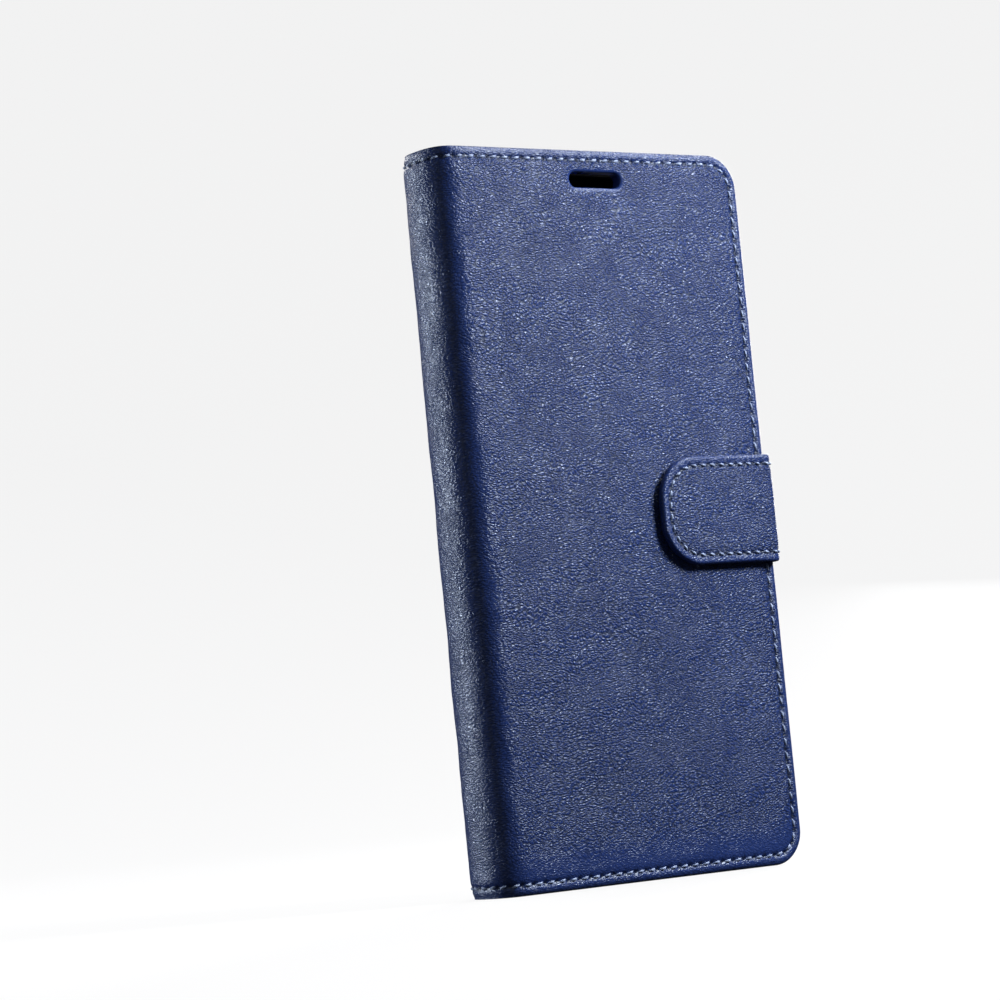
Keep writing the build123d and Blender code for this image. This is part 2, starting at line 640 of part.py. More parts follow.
# the lining climbs from the flat of the tongue to the thinner fold
with BuildPart() as tongue_lining:
    extrude(tongue_plan(TONGUE_IN_Y, TONGUE_LEATHER_T, TONGUE_CORE_END_X), amount=TONGUE_LINING_T)
    with BuildSketch(Plane.XY.offset(STRAP_LOW_Z + TONGUE_LEATHER_T)):
        with BuildLine():
            Polyline(
                (TONGUE_CORE_END_X, TONGUE_IN_Y),
                (TONGUE_CORE_END_X, TONGUE_IN_Y - TONGUE_LINING_T),
                (FRONT_BEND[0], STRAP_Y + STRAP_LEATHER_T),
                (FRONT_BEND[0], STRAP_Y + STRAP_T),
                close=True,
            )
        make_face()
    extrude(amount=STRAP_H - 2 * TONGUE_LEATHER_T)
    extrude(
        front_bend_outline(
            FRONT_BEND_R - STRAP_LEATHER_T,
            FRONT_BEND_R - STRAP_T,
            STRAP_LOW_Z + TONGUE_LEATHER_T,
        ),
        amount=STRAP_H - 2 * TONGUE_LEATHER_T,
    )
save(tongue_lining.part, "tongue_lining")
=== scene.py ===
import math

import bpy
import numpy as np
from mathutils import Matrix, Vector
from mathutils.geometry import delaunay_2d_cdt


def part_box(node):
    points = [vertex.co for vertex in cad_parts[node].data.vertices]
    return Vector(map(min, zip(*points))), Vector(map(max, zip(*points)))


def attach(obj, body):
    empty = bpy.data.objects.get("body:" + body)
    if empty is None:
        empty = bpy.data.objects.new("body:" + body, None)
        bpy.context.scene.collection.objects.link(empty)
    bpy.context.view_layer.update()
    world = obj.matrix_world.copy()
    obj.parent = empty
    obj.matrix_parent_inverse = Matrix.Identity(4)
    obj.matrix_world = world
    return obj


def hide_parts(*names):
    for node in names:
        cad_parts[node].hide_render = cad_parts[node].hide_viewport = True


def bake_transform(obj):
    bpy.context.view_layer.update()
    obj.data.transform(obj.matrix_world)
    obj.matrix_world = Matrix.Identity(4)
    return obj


# The looks of a folio phone case. Shapes are worked out in millimetres in the frame's own axes:
# +Z up the case, -Y out of the front cover, -X the spine, +X the fore-edge.
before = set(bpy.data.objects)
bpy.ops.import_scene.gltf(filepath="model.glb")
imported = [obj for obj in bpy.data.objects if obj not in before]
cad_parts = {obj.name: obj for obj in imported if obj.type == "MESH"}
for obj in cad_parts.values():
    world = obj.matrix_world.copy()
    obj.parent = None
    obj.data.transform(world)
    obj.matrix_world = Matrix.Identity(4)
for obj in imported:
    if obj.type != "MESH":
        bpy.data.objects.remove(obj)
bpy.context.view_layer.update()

MM = 0.001
RNG_SEED = 11


# ---------------------------------------------------------------- sizes read from the frame
def node_box(node):
    low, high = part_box(node)
    return np.array(low) / MM, np.array(high) / MM


back_low, back_high = node_box("back_leather")
front_low, front_high = node_box("front_leather")
spine_low = node_box("spine_leather")[0]
tongue_low, tongue_high = node_box("tongue_leather")
anchor_low, anchor_high = node_box("strap_anchor")
side_high = node_box("strap_side_leather")[1]
shell_low, shell_high = node_box("tpu_shell")

CASE_H = back_high[2]
FORE_X = back_high[0]
SPINE_X = spine_low[0]
BACK_Y = back_high[1]
FRONT_Y = front_low[1]
MID_Y = (BACK_Y + FRONT_Y) / 2
HINGE_X = SPINE_X + 5.0       # the cover's fold lines
BACK_T = back_high[1] - back_low[1]     # whole thickness of each panel
FRONT_T = front_high[1] - front_low[1]
SPINE_T = 1.35                # leather and lining, with no board
PANEL_R = 7.0                 # corners at the fore-edge

STRAP_LOW_Z = tongue_low[2]
STRAP_HIGH_Z = tongue_high[2]
STRAP_X = side_high[0]
STRAP_Y = tongue_low[1]
TAB_Y = anchor_high[1]
TAB_X = anchor_low[0]
TIP_X = tongue_low[0]
TIP_R = 9.0                   # corners of the tongue's tip
TONGUE_T = tongue_high[1] - STRAP_Y
STRAP_T = 1.0                 # leather and lining, with no stiffener

# openings, with u from the fore-edge
WINDOW = dict(u=17.65, z=131.3, width=24.7, height=13.8)
SLOT = dict(u=FORE_X - (shell_low[0] + shell_high[0]) / 2, z=CASE_H - 6.0, width=12.8, height=3.2)
STAND_U = 36.9                # the pressed fold line, from the fore-edge

PANEL_SEAM = dict(inset=2.1, pitch=2.75)
STRAP_SEAM = dict(inset=1.9, pitch=2.4)
POCKET_SEAM = dict(inset=1.25, pitch=2.4)
THREAD_R = 0.25
POCKET_THREAD_R = 0.18

# how far the grain is pressed flat, from 0 to 1
RIM_SMOOTHNESS = 0.45
FOOT_SMOOTHNESS = 0.62
SPINE_SMOOTHNESS = 0.45

HOLE_STEP = 0.35             # between mesh points round an opening


# ---------------------------------------------------------------- small maths
def smoothstep(low, high, x):
    t = np.clip((x - low) / (high - low), 0.0, 1.0)
    return t * t * (3 - 2 * t)


def bell(x, width):
    return np.exp(-((x / width) ** 2))


def ripples(a, b, size, seed, count=14):
    """Smooth seeded unevenness, about -1 to 1, with features of the given size."""
    rng = np.random.default_rng(RNG_SEED + seed)
    total = np.zeros_like(a)
    for _ in range(count):
        angle, phase = rng.uniform(0, 2 * math.pi, 2)
        wave = 2 * math.pi / (size * rng.uniform(0.7, 1.8))
        total += np.sin(wave * (a * math.cos(angle) + b * math.sin(angle)) + phase)
    return total / math.sqrt(count)


# ---------------------------------------------------------------- the curves that sheets follow
class Course:
    """A plan curve that a sheet follows, measured in u from the sheet's free end."""

    def __init__(self, points, side):
        points = np.array(points)
        steps = np.hypot(*np.diff(points, axis=0).T)
        self.u = np.concatenate([[0.0], np.cumsum(steps)])
        self.points = points
        tangent = np.gradient(points, self.u, axis=0)
        tangent /= np.linalg.norm(tangent, axis=1)[:, None]
        self.normal = side * np.column_stack([-tangent[:, 1], tangent[:, 0]])
        self.side = side

    def place(self, u, z, depth):
        """Points in the frame, depth below the outer surface."""
        x = np.interp(u, self.u, self.points[:, 0]) + depth * np.interp(u, self.u, self.normal[:, 0])
        y = np.interp(u, self.u, self.points[:, 1]) + depth * np.interp(u, self.u, self.normal[:, 1])
        return np.column_stack([x, y, z])


def straight(start, end, step=0.25):
    count = max(2, int(math.dist(start, end) / step))
    return [tuple(p) for p in np.linspace(start, end, count, endpoint=False)]


def swell(centre, reach, power, angles):
    """Part of a superellipse: a rounded turn that goes flat on its sides."""
    points = []
    for angle in angles:
        c, s = math.cos(math.radians(angle)), math.sin(math.radians(angle))
        x = centre[0] + reach[0] * math.copysign(abs(c) ** (2 / power), c)
        y = centre[1] + reach[1] * math.copysign(abs(s) ** (2 / power), s)
        points.append((x, y))
    return points


TURN_POINTS = 500
PAST_CUT = 25                # degrees of turn that a course goes on past its sheet's cut
SPINE_TURN = 6.4             # how far from the spine the cover starts to turn
spine_centre = (SPINE_X + SPINE_TURN, MID_Y)
spine_reach = (SPINE_TURN, BACK_Y - MID_Y)
SPINE_POWER = 2.5
back_turn = swell(spine_centre, spine_reach, SPINE_POWER, np.linspace(90, 180 + PAST_CUT, TURN_POINTS))
front_turn = swell(spine_centre, spine_reach, SPINE_POWER, np.linspace(270, 180 - PAST_CUT, TURN_POINTS))
back_course = Course(straight((FORE_X, BACK_Y), (SPINE_X + SPINE_TURN, BACK_Y)) + back_turn, side=1)
front_course = Course(straight((FORE_X, FRONT_Y), (SPINE_X + SPINE_TURN, FRONT_Y)) + front_turn, side=-1)

STRAP_POWER = 2.5
STRAP_BEND_X = 34.8
strap_centre = (STRAP_BEND_X, (TAB_Y + STRAP_Y) / 2)
strap_reach = (STRAP_X - STRAP_BEND_X, (TAB_Y - STRAP_Y) / 2)
tongue_turn = swell(strap_centre, strap_reach, STRAP_POWER, np.linspace(-90, PAST_CUT, TURN_POINTS))
side_turn = swell(strap_centre, strap_reach, STRAP_POWER, np.linspace(90, -PAST_CUT, TURN_POINTS))
tongue_course = Course(straight((TIP_X, STRAP_Y), (STRAP_BEND_X, STRAP_Y)) + tongue_turn, side=1)
side_course = Course(straight((TAB_X, TAB_Y), (STRAP_BEND_X, TAB_Y)) + side_turn, side=-1)


def cut_at(course, y):
    """Where a course crosses height y on its far side, in u."""
    turn = course.u > course.u[-1] * 0.5
    order = np.argsort(course.points[turn, 1])
    return float(np.interp(y, course.points[turn, 1][order], course.u[turn][order]))


# ---------------------------------------------------------------- outlines of sheets
class Outline:
    """A strip from its free end at u = 0, with two round corners, to a straight cut."""

    def __init__(self, low, high, corner, cut):
        self.low, self.high, self.corner, self.cut = low, high, corner, cut
        self.mid = (low + high) / 2

    def inset(self, u, z):
        """How far a point lies inside the edge."""
        half = (self.high - self.low) / 2
        across = np.abs(z - self.mid)
        corner_u = np.maximum(self.corner - u, 0)
        corner_z = np.maximum(across - (half - self.corner), 0)
        in_corner = (corner_u > 0) & (corner_z > 0)
        rounded = self.corner - np.hypot(corner_u, corner_z)
        return np.where(in_corner, rounded, np.minimum(u, half - across))

    def rim(self, inset, count=None, step=0.4, start=0.0, end=0.0):
        """The edge moved inwards, from the cut along the bottom, the end and the top to the cut.
        start and end carry the straight runs on past the cut."""
        r = self.corner
        runs = [self.cut - r + start, math.pi / 2 * r, self.high - self.low - 2 * r]
        runs += [runs[1], self.cut - r + end]
        marks = np.concatenate([[0], np.cumsum(runs)])
        count = count or int(marks[-1] / step) + 1
        t = np.linspace(0, marks[-1], count)
        turn1 = (t - marks[1]) / r
        turn2 = (t - marks[3]) / r
        ri = r - inset
        pieces = [t <= marks[1], t <= marks[2], t <= marks[3], t <= marks[4]]
        u = np.select(
            pieces,
            [self.cut + start - t, r - ri * np.sin(turn1), inset + 0 * t, r - ri * np.cos(turn2)],
            r + t - marks[4],
        )
        z = np.select(
            pieces,
            [
                self.low + inset + 0 * t,
                self.low + r - ri * np.cos(turn1),
                self.low + r + t - marks[2],
                self.high - r + ri * np.sin(turn2),
            ],
            self.high - inset,
        )
        return np.column_stack([u, z])


def resample(path, count):
    """count + 1 points evenly spaced along a path."""
    steps = np.hypot(*np.diff(path, axis=0).T)
    along = np.concatenate([[0.0], np.cumsum(steps)])
    marks = np.linspace(0, along[-1], count + 1)
    return np.column_stack([np.interp(marks, along, path[:, k]) for k in (0, 1)])


def needle_holes(outline, seam, both_ends_on=True):
    """Needle holes along a seam. The first and last lie half a stitch past the cut."""
    past = seam["pitch"] / 2 if both_ends_on else 0.0
    path = outline.rim(seam["inset"], step=0.05, start=past, end=past)
    length = np.hypot(*np.diff(path, axis=0).T).sum()
    return resample(path, round(length / seam["pitch"]))


def stadium_distance(hole, u, z):
    flat = (hole["width"] - hole["height"]) / 2
    return np.hypot(np.maximum(np.abs(u - hole["u"]) - flat, 0), z - hole["z"]) - hole["height"] / 2


def stadium_ring(hole, offset, count):
    flat = (hole["width"] - hole["height"]) / 2
    r = hole["height"] / 2 + offset
    half_turn = math.pi * (hole["height"] / 2)
    marks = np.cumsum([0, 2 * flat, half_turn, 2 * flat, half_turn])
    t = np.linspace(0, marks[-1], count, endpoint=False)
    turn1 = (t - marks[1]) / (hole["height"] / 2) - math.pi / 2
    turn2 = (t - marks[3]) / (hole["height"] / 2) + math.pi / 2
    pieces = [t <= marks[1], t <= marks[2], t <= marks[3]]
    runs = [t - flat, flat + r * np.cos(turn1), flat - (t - marks[2])]
    u = np.select(pieces, runs, -flat + r * np.cos(turn2))
    z = np.select(pieces, [-r + 0 * t, r * np.sin(turn1), r + 0 * t], r * np.sin(turn2))
    return np.column_stack([hole["u"] + u, hole["z"] + z])


# ---------------------------------------------------------------- meshes
def make_object(name, verts, faces, material, attributes=None):
    mesh = bpy.data.meshes.new(name)
    mesh.from_pydata((np.asarray(verts) * MM).tolist(), [], faces)
    mesh.polygons.foreach_set("use_smooth", [True] * len(mesh.polygons))
    for key, values in (attributes or {}).items():
        if values.ndim == 2:
            layer = mesh.attributes.new(key, "FLOAT_VECTOR", "POINT")
            layer.data.foreach_set("vector", values.astype(np.float32).ravel())
        else:
            layer = mesh.attributes.new(key, "FLOAT", "POINT")
            layer.data.foreach_set("value", values.astype(np.float32))
    mesh.validate()
    mesh.update()
    mesh.materials.append(material)
    piece = bpy.data.objects.new(name, mesh)
    bpy.context.scene.collection.objects.link(piece)
    return piece


def half_round(radius, steps=10):
    """Section of a turned edge: (inset, share of the thickness, drop)."""
    angles = np.linspace(0, math.pi, steps + 1)
    return [(radius * (1 - math.sin(a)), (1 - math.cos(a)) / 2, 0.0) for a in angles]


def cut_edge(start, radius, drop, steps=5):
    """Section of a thin sheet's edge lying on another: round, then straight down."""
    angles = np.linspace(0, math.pi / 2, steps + 1)
    return [(start + radius * (1 - math.sin(a)), 1.0, -drop * (1 - math.cos(a))) for a in angles]


def build_sheet(
    name, course, outline, section, thickness, relief, material,
    holes=(), rings=(), step=1.0, fine_from=1e9, fine_step=0.4, inner=False, texture_shift=0.0,
    needles=(),
):
    """A sheet that follows a course. Its face is filled with triangles, its edge is a swept section.
    inner sheets face the phone: their relief goes the other way."""
    sign = -1.0 if inner else 1.0
    edge_inset = section[0][0]
    rim_count = len(outline.rim(0.0))

    def depth(u, z, share, drop, faded):
        return share * thickness(u) + drop + sign * relief(u, z) * faded

    # the plane pattern of points
    loop = outline.rim(edge_inset, rim_count)
    cut_steps = int((loop[-1, 1] - loop[0, 1]) / step)
    cut_z = np.linspace(loop[-1, 1], loop[0, 1], cut_steps + 1)[1:-1]
    border = np.concatenate([loop, np.column_stack([np.full_like(cut_z, outline.cut), cut_z])])
    pattern = [border]
    for inset in rings:
        pattern.append(outline.rim(inset, rim_count)[1:-1])
    last_ring = max(rings, default=edge_inset)
    hole_loops = []
    hole_count = 0
    for hole in holes:
        count = int((2 * (hole["width"] - hole["height"]) + math.pi * hole["height"]) / HOLE_STEP)
        first = len(border) + hole_count
        hole_loops.append((hole, count, first))
        hole_count += count
        pattern.insert(len(hole_loops), stadium_ring(hole, hole["round"], count))
        for offset in hole["rings"]:
            pattern.append(stadium_ring(hole, offset, count))
    coarse = np.arange(0.3, min(fine_from, outline.cut), step)
    fine = np.arange(min(fine_from, outline.cut), outline.cut - 0.3 * fine_step, fine_step)
    grid = []
    for column, u in enumerate(np.concatenate([coarse, fine])):
        z = np.arange(outline.low, outline.high, step) + (column % 2) * step / 2
        grid.append(np.column_stack([np.full_like(z, u), z]))
    grid = np.concatenate(grid)
    gap = 0.45 * min(step, 1.0)
    keep = outline.inset(grid[:, 0], grid[:, 1]) > last_ring + gap
    keep &= grid[:, 0] < outline.cut - 0.3 * min(step, fine_step)
    for hole in holes:
        reach = max(hole["rings"], default=hole["round"])
        keep &= stadium_distance(hole, grid[:, 0], grid[:, 1]) > reach + gap
    pattern.append(grid[keep])
    pattern = np.concatenate(pattern)

    edges = [(i, (i + 1) % len(border)) for i in range(len(border))]
    for _, count, first in hole_loops:
        edges += [(first + i, first + (i + 1) % count) for i in range(count)]
    result = delaunay_2d_cdt([Vector(p) for p in pattern], edges, [], 0, 1e-7)
    flat = np.array([tuple(p) for p in result[0]])
    moved = {}
    for new, originals in enumerate(result[3]):
        for old in originals:
            moved[old] = new
    corners = np.array(result[2])
    centres = flat[corners].mean(axis=1)
    solid = np.ones(len(corners), bool)
    for hole in holes:
        solid &= stadium_distance(hole, centres[:, 0], centres[:, 1]) > hole["round"] - 1e-3
    faces = [list(f) for f in corners[solid]]

    share, drop = section[0][1:]
    where = [flat]
    painted = [flat]
    deep = [depth(flat[:, 0], flat[:, 1], share, drop, 1.0)]
    smooth = [edge_smoothness(outline, holes, flat)]
    total = len(flat)

    def strip(ring, texture_ring, depths, previous, closed, smoothness):
        nonlocal total
        where.append(ring)
        painted.append(texture_ring)
        deep.append(depths)
        smooth.append(np.full(len(ring), smoothness))
        count = len(ring)
        for i in range(count if closed else count - 1):
            j = (i + 1) % count
            faces.append([previous[i], previous[j], total + j, total + i])
        previous = list(range(total, total + count))
        total += count
        return previous

    previous = [moved[i] for i in range(rim_count)]
    mean_thickness = float(thickness(np.array([1.0]))[0])
    gone = 0.0
    for k, (inset, share, drop) in enumerate(section[1:], start=1):
        before = section[k - 1]
        gone += math.hypot(inset - before[0], (share - before[1]) * mean_thickness + drop - before[2])
        ring = outline.rim(inset, rim_count)
        texture_ring = outline.rim(edge_inset - gone, rim_count)
        faded = max(0.0, 1 - 2 * share) if not inner else max(0.0, 1 - k / (len(section) - 1))
        depths = depth(ring[:, 0], ring[:, 1], share, drop, faded)
        previous = strip(ring, texture_ring, depths, previous, False, RIM_SMOOTHNESS)
    for hole, count, first in hole_loops:
        previous = [moved[first + i] for i in range(count)]
        for offset, fall in hole["section"]:
            ring = stadium_ring(hole, offset, count)
            lip = depth(ring[:, 0], ring[:, 1], section[0][1], section[0][2], 1.0)
            previous = strip(ring, ring, lip + sign * fall, previous, True, 1.0)

    where = np.concatenate(where)
    painted = np.concatenate(painted)
    deep = np.concatenate(deep)
    verts = course.place(where[:, 0], where[:, 1], deep)
    flip = (course.side < 0) != inner
    if flip:
        faces = [f[::-1] for f in faces]
    hide = np.column_stack([painted[:, 0] + texture_shift, painted[:, 1], deep])
    attributes = {"hide": hide, "smoothness": np.concatenate(smooth)}
    if len(needles):
        # the prick mask marks the needle holes, where the material paints shade
        attributes["prick"] = bell(near_holes(where[:, 0], where[:, 1], needles), 0.48)
    return make_object(name, verts, faces, material, attributes)


def edge_smoothness(outline, holes, flat):
    """1 where the leather's grain is pressed flat: by the seams, low down and round the openings."""
    inset = outline.inset(flat[:, 0], flat[:, 1])
    smooth = RIM_SMOOTHNESS * (1 - smoothstep(1.4, 2.6, inset))
    if outline.low == 0.0:
        foot = 1 - smoothstep(4.0, 11.0, flat[:, 1])
        on_spine = smoothstep(hinge_u - 2.0, hinge_u + 2.0, flat[:, 0])
        smooth = np.maximum(smooth, FOOT_SMOOTHNESS * foot)
        smooth = np.maximum(smooth, SPINE_SMOOTHNESS * on_spine)
    for hole in holes:
        distance = stadium_distance(hole, flat[:, 0], flat[:, 1])
        smooth = np.maximum(smooth, 1 - smoothstep(0.2, 1.0, distance))
    return smooth


# ---------------------------------------------------------------- thread
STITCH_SIDES = 8
STITCH_STEPS = 12
INNER_LOOP = 0.10            # how high a stitch stands on an inner face
STITCH_SINK = 0.42           # how deep a stitch's two ends lie in their holes


def stitch_run(course, holes, thickness, relief, inner=False, loop_height=0.20, radius=THREAD_R):
    """Twisted stitches between needle holes, as arrays of points and faces."""
    sign = -1.0 if inner else 1.0
    along = np.linspace(0, 1, STITCH_STEPS + 1)
    theta = np.linspace(0, 2 * math.pi, STITCH_SIDES, endpoint=False)
    rng = np.random.default_rng(RNG_SEED)
    verts, faces, plane = [], [], []
    for start, end in zip(holes[:-1], holes[1:]):
        run = end - start
        length = np.hypot(*run)
        ahead = run / length
        aside = np.array([-ahead[1], ahead[0]])
        slant = 0.17 + 0.04 * rng.standard_normal()
        t = 0.18 + 0.64 * along
        middle = start + np.outer(t, run) + np.outer((along - 0.5) * 2 * slant * -sign, aside)
        rise = np.sin(math.pi * along) ** 0.55
        base = relief(middle[:, 0], middle[:, 1]) * sign
        surface = (thickness(middle[:, 0]) if inner else 0.0) + base
        depth = surface + sign * (STITCH_SINK - (STITCH_SINK + loop_height) * rise)
        taper = 0.55 + 0.45 * np.sin(math.pi * along) ** 0.4
        twist = theta[None, :] * 2 - along[:, None] * 4 * math.pi
        ply = radius * taper[:, None] * (1 + 0.16 * np.cos(twist))
        side = ply * np.cos(theta)[None, :]
        up = ply * np.sin(theta)[None, :]
        flat = middle[:, None, :] + side[:, :, None] * aside[None, None, :]
        deep = depth[:, None] - up
        points = course.place(flat[:, :, 0].ravel(), flat[:, :, 1].ravel(), deep.ravel())
        first = sum(len(v) for v in verts)
        verts.append(points)
        lengthwise, round_it = np.repeat(along * length, STITCH_SIDES), np.tile(theta, len(along))
        plane.append(np.column_stack([lengthwise, round_it, 0 * lengthwise]))
        for i in range(STITCH_STEPS):
            for j in range(STITCH_SIDES):
                k = (j + 1) % STITCH_SIDES
                a = first + i * STITCH_SIDES
                faces.append([a + j, a + k, a + STITCH_SIDES + k, a + STITCH_SIDES + j])
        faces.append([first + j for j in range(STITCH_SIDES)][::-1])
        last = first + STITCH_STEPS * STITCH_SIDES
        faces.append([last + j for j in range(STITCH_SIDES)])
    if course.side > 0:
        faces = [f[::-1] for f in faces]
    return np.concatenate(verts), faces, np.concatenate(plane)


def make_thread(name, runs, material):
    verts, faces, plane = [], [], []
    for run_verts, run_faces, run_plane in runs:
        first = sum(len(v) for v in verts)
        verts.append(run_verts)
        plane.append(run_plane)
        faces += [[first + i for i in f] for f in run_faces]
    return make_object(name, np.concatenate(verts), faces, material, {"ply": np.concatenate(plane)})


# ---------------------------------------------------------------- material helpers
GRAIN_TURN = 35              # degrees, the way the grain's beads lie
GRAIN_SCALE = 1.15           # beads in a millimetre


class Nodes:
    """A short way to write a node tree."""

    def __init__(self, name):
        self.material = bpy.data.materials.new(name)
        self.material.use_nodes = True
        self.tree = self.material.node_tree
        self.tree.nodes.clear()
        self.shader = self.add("ShaderNodeBsdfPrincipled")
        output = self.add("ShaderNodeOutputMaterial")
        self.tree.links.new(self.shader.outputs[0], output.inputs[0])

    def add(self, kind, inputs=None, **settings):
        node = self.tree.nodes.new(kind)
        for key, value in settings.items():
            setattr(node, key, value)
        for key, value in (inputs or {}).items():
            self.set(node, key, value)
        return node

    def set(self, node, key, value):
        socket = node.inputs[key]
        if isinstance(value, bpy.types.NodeSocket):
            self.tree.links.new(value, socket)
        elif isinstance(value, bpy.types.Node):
            self.tree.links.new(value.outputs[0], socket)
        else:
            socket.default_value = value

    def math(self, operation, a, b=0.0, c=0.0, clamp=False):
        return self.add("ShaderNodeMath", {0: a, 1: b, 2: c}, operation=operation, use_clamp=clamp).outputs[0]

    def vector(self, operation, a, b=(0.0, 0.0, 0.0), scale=None):
        node = self.add("ShaderNodeVectorMath", {0: a, 1: b}, operation=operation)
        if scale is not None:
            self.set(node, "Scale", scale)
        return node.outputs[0]

    def remap(self, value, low, high, to_low=0.0, to_high=1.0, smooth=True):
        node = self.add("ShaderNodeMapRange", {0: value, 1: low, 2: high, 3: to_low, 4: to_high})
        node.interpolation_type = "SMOOTHSTEP" if smooth else "LINEAR"
        return node.outputs[0]

    def mix(self, factor, a, b):
        node = self.add("ShaderNodeMix", data_type="RGBA")
        self.set(node, "Factor", factor)
        for key, value in ((6, a), (7, b)):
            self.set(node, key, (*value, 1.0) if isinstance(value, tuple) and len(value) == 3 else value)
        return node.outputs[2]

    def noise(self, vector, scale, detail=3.0, rough=0.5):
        return self.add(
            "ShaderNodeTexNoise", {"Vector": vector, "Scale": scale, "Detail": detail, "Roughness": rough}
        ).outputs[0]

    def voronoi(self, vector, scale, feature="DISTANCE_TO_EDGE", dimensions="2D", randomness=1.0):
        return self.add(
            "ShaderNodeTexVoronoi",
            {"Vector": vector, "Scale": scale, "Randomness": randomness},
            feature=feature,
            voronoi_dimensions=dimensions,
        ).outputs["Distance"]

    def bump(self, height, distance, strength=1.0, normal=None):
        node = self.add("ShaderNodeBump", {"Height": height, "Distance": distance, "Strength": strength})
        if normal is not None:
            self.set(node, "Normal", normal)
        return node.outputs[0]

    def finish(self, **sockets):
        for key, value in sockets.items():
            self.set(self.shader, key.replace("_", " "), value)
        return self.material


# dark is a painted shade colour, laid into the grain's valleys; mid and light vary at random
def leather(name, dark, mid, light, grain, roughness):
    """Embossed grain: slanting, elongated beads, deeper wrinkles across them, flat by the seams."""
    n = Nodes(name)
    hide = n.add("ShaderNodeAttribute", attribute_name="hide").outputs["Vector"]
    pressed = n.add("ShaderNodeAttribute", attribute_name="smoothness").outputs["Fac"]
    prick = n.add("ShaderNodeAttribute", attribute_name="prick").outputs["Fac"]
    plane = n.vector("MULTIPLY", hide, (1.0, 1.0, 0.0))
    drift = n.add("ShaderNodeTexNoise", {"Vector": plane, "Scale": 0.07, "Detail": 2.0}).outputs[1]
    drift = n.vector("SUBTRACT", drift, (0.5, 0.5, 0.5))
    bent = n.vector("ADD", plane, n.vector("SCALE", drift, scale=6.0))
    wobble = n.add("ShaderNodeTexNoise", {"Vector": plane, "Scale": 1.1, "Detail": 2.0}).outputs[1]
    wobble = n.vector("SUBTRACT", wobble, (0.5, 0.5, 0.5))
    bent = n.vector("ADD", bent, n.vector("SCALE", wobble, scale=0.7))

    def stretched(turn, across):
        return n.add(
            "ShaderNodeMapping",
            {"Vector": bent, "Rotation": (0, 0, math.radians(turn)), "Scale": (1.0, across, 1.0)},
        ).outputs[0]

    def domes(vector, scale):
        node = n.add(
            "ShaderNodeTexVoronoi", {"Vector": vector, "Scale": scale, "Smoothness": 0.25},
            feature="SMOOTH_F1", voronoi_dimensions="2D",
        )
        return n.remap(node.outputs["Distance"], 0.0, 0.70, 1.0, 0.0)

    def cracks(vector, scale, width):
        near = n.remap(n.voronoi(vector, scale), 0.0, width, smooth=False)
        return n.math("POWER", near, 0.65)

    beads = domes(stretched(GRAIN_TURN, 2.1), GRAIN_SCALE)
    cracked = cracks(stretched(GRAIN_TURN, 2.1), GRAIN_SCALE, 0.22)
    small = domes(stretched(GRAIN_TURN - 25, 1.4), 2.8)
    creases = cracks(stretched(GRAIN_TURN - 20, 1.8), 0.50, 0.10)
    folds = n.remap(n.voronoi(bent, 0.17), 0.0, 0.035)
    fold_mask = n.remap(n.noise(plane, 0.07, 2.0), 0.50, 0.64)
    pores = n.noise(plane, 6.0, 2.0, 0.6)
    height = n.math("MULTIPLY_ADD", cracked, 0.30, n.math("MULTIPLY", beads, 0.50))
    height = n.math("MULTIPLY_ADD", small, 0.20, height)
    height = n.math("MULTIPLY", height, n.math("MULTIPLY_ADD", creases, 0.45, 0.55))
    folded = n.math("MULTIPLY", n.math("SUBTRACT", 1.0, folds), fold_mask)
    height = n.math("MULTIPLY_ADD", folded, -0.40, height)
    uneven = n.remap(n.noise(plane, 0.16, 3.0), 0.25, 0.75, 0.75, 1.1)
    calm = n.math("SUBTRACT", 1.0, n.math("MULTIPLY", pressed, 0.93))
    grain_height = n.math("MULTIPLY", height, n.math("MULTIPLY", uneven, calm))
    bumped = n.bump(n.math("MULTIPLY_ADD", pores, 0.04, grain_height), grain * MM)
    tone = n.remap(n.noise(plane, 0.05, 3.0), 0.3, 0.7)
    base = n.mix(tone, mid, light)
    # painted shade: the grain's valleys are painted towards the dark colour as shade in the creases; the same
    # mask also raises the roughness there
    valley_shade = n.math("MULTIPLY", n.remap(height, 0.28, 0.60, 1.0, 0.0), calm)
    base = n.mix(valley_shade, base, dark)
    # painted shade: the needle holes are painted near-black, standing in for the shade inside each hole
    base = n.mix(prick, base, (0.001, 0.002, 0.006))
    shine = n.remap(n.noise(plane, 0.6, 3.0), 0.3, 0.7, roughness - 0.03, roughness + 0.04)
    shine = n.math("MULTIPLY_ADD", valley_shade, 0.18, shine)
    return n.finish(
        Base_Color=base, Roughness=shine, Normal=bumped,
        Specular_IOR_Level=0.30, Specular_Tint=(0.72, 0.84, 1.0, 1.0),
    )


def thread_material():
    n = Nodes("thread")
    ply = n.add("ShaderNodeAttribute", attribute_name="ply").outputs["Vector"]
    fibres = n.noise(n.vector("MULTIPLY", ply, (9.0, 2.2, 1.0)), 1.0, 3.0, 0.6)
    place = n.add("ShaderNodeTexCoord").outputs["Object"]
    worn = n.remap(n.noise(place, 380.0, 2.0), 0.35, 0.65)
    base = n.mix(fibres, (0.07, 0.11, 0.23), (0.19, 0.26, 0.43))
    base = n.mix(n.math("MULTIPLY", worn, 0.4), base, (0.30, 0.38, 0.56))
    return n.finish(
        Base_Color=base, Roughness=0.48, Normal=n.bump(fibres, 0.05 * MM), Sheen_Weight=0.25
    )


